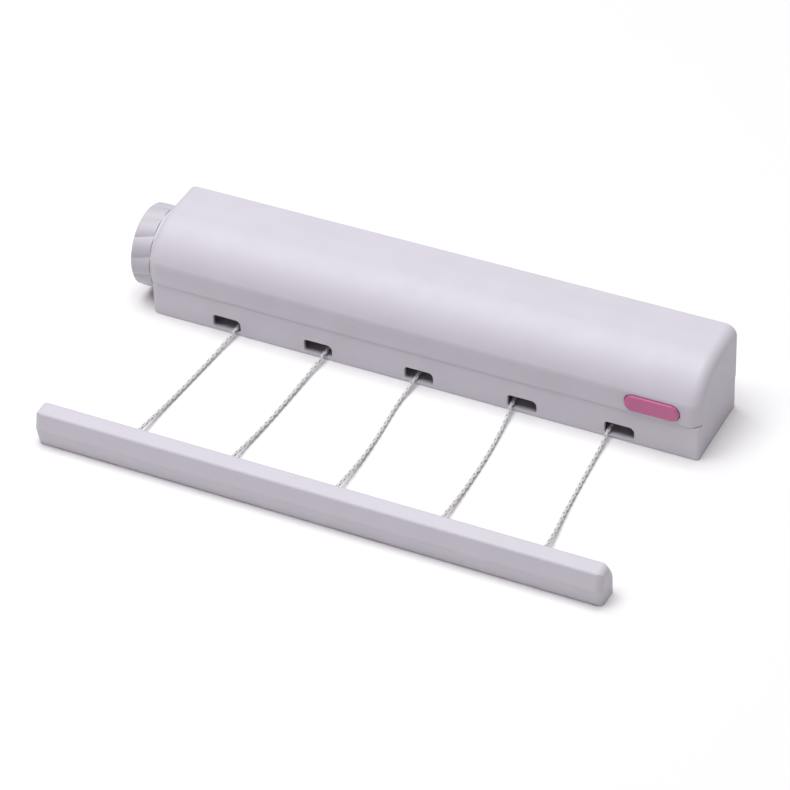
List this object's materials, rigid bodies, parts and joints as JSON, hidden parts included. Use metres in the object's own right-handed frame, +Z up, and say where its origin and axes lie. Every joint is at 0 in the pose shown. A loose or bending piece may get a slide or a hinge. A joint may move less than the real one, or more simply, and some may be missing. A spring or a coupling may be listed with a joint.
{
  "type": "retractable clothesline",
  "caption": "Wall-mounted retractable clothesline: long rounded housing with spring-rewound cords joined to a slim pull bar, with a lobed end knob and an obround lock button.",
  "frame": {"origin": "midway between the two wall keyholes, on the wall plane at the back of the base", "axes": "+X along the housing towards the lock button's end, +Y into the wall, so the front faces -Y, +Z up"},
  "size_m": [0.3874, 0.2036, 0.0613],
  "materials": {
    "housing_white": "satin-gloss moulded plastic",
    "button_pink": "satin-gloss moulded plastic",
    "inner_plastic": "moulded grey plastic",
    "bush_plastic": "natural acetal",
    "steel": "zinc-plated",
    "spring_steel": "oiled blue-grey strip and wire",
    "screw_steel": "zinc-plated",
    "pad_rubber": "matt",
    "cord_line": "twisted silver-grey strands"
  },
  "bodies": {
    "housing": {"base_shell": "housing_white", "top_cover": "housing_white", "cover_screws": "screw_steel", "bracket_screws": "screw_steel", "guide_rod": "steel", "spring_case": "inner_plastic", "power_spring": "spring_steel", "brake_bracket": "steel", "brake_pivot_pin": "steel", "brake_spring": "spring_steel", "shaft_support_left": "inner_plastic", "shaft_support_middle_left": "inner_plastic", "shaft_support_middle_right": "inner_plastic", "bush_left": "bush_plastic", "bush_middle_left": "bush_plastic", "bush_middle_right": "bush_plastic", "bush_right": "bush_plastic"},
    "drum": {"drum_shaft": "steel", "knob": "housing_white", "knob_screw": "screw_steel", "retaining_ring": "steel", "drive_pins": "steel", "spring_arbor": "inner_plastic", "brake_wheel": "inner_plastic", "spool_1": "inner_plastic", "spool_2": "inner_plastic", "spool_3": "inner_plastic", "spool_4": "inner_plastic", "spool_5": "inner_plastic", "cord_winding_1": "cord_line", "cord_winding_2": "cord_line", "cord_winding_3": "cord_line", "cord_winding_4": "cord_line", "cord_winding_5": "cord_line"},
    "button": {"lock_button": "button_pink"},
    "lever": {"brake_lever": "inner_plastic", "brake_pad": "pad_rubber"},
    "pull_bar": {"bar_shell": "housing_white", "bar_back": "housing_white", "bar_screws": "screw_steel", "cord_stop_1": "bush_plastic", "cord_stop_2": "bush_plastic", "cord_stop_3": "bush_plastic", "cord_stop_4": "bush_plastic", "cord_stop_5": "bush_plastic", "cord_1": "cord_line", "cord_2": "cord_line", "cord_3": "cord_line", "cord_4": "cord_line", "cord_5": "cord_line"}
  },
  "joints": [
    {"name": "bar_slide", "type": "slide", "parent": "housing", "child": "pull_bar", "axis": [0, -1, 0], "range_m": [-0.1277, 3], "deforming": ["cord_1", "cord_2", "cord_3", "cord_4", "cord_5"]},
    {"name": "drum_spin", "type": "hinge", "parent": "housing", "child": "drum", "pos_m": [0, -0.0284, -0.0036], "axis": [1, 0, 0], "continuous": true, "deforming": ["power_spring"]},
    {"name": "button_press", "type": "slide", "parent": "housing", "child": "button", "axis": [0, 1, 0], "range_m": [0, 0.0025], "stiffness_N_per_m": 600, "springref_m": -0.003},
    {"name": "brake_release", "type": "hinge", "parent": "housing", "child": "lever", "pos_m": [0.16275, -0.049, -0.012], "axis": [-1, 0, 0], "range_deg": [0, 16.5], "deforming": ["brake_spring"]}
  ],
  "couplings": [
    {"joint": "drum_spin", "follows": "bar_slide", "rad_per_m": -57.143},
    {"joint": "brake_release", "follows": "button_press", "rad_per_m": 111.1}
  ]
}
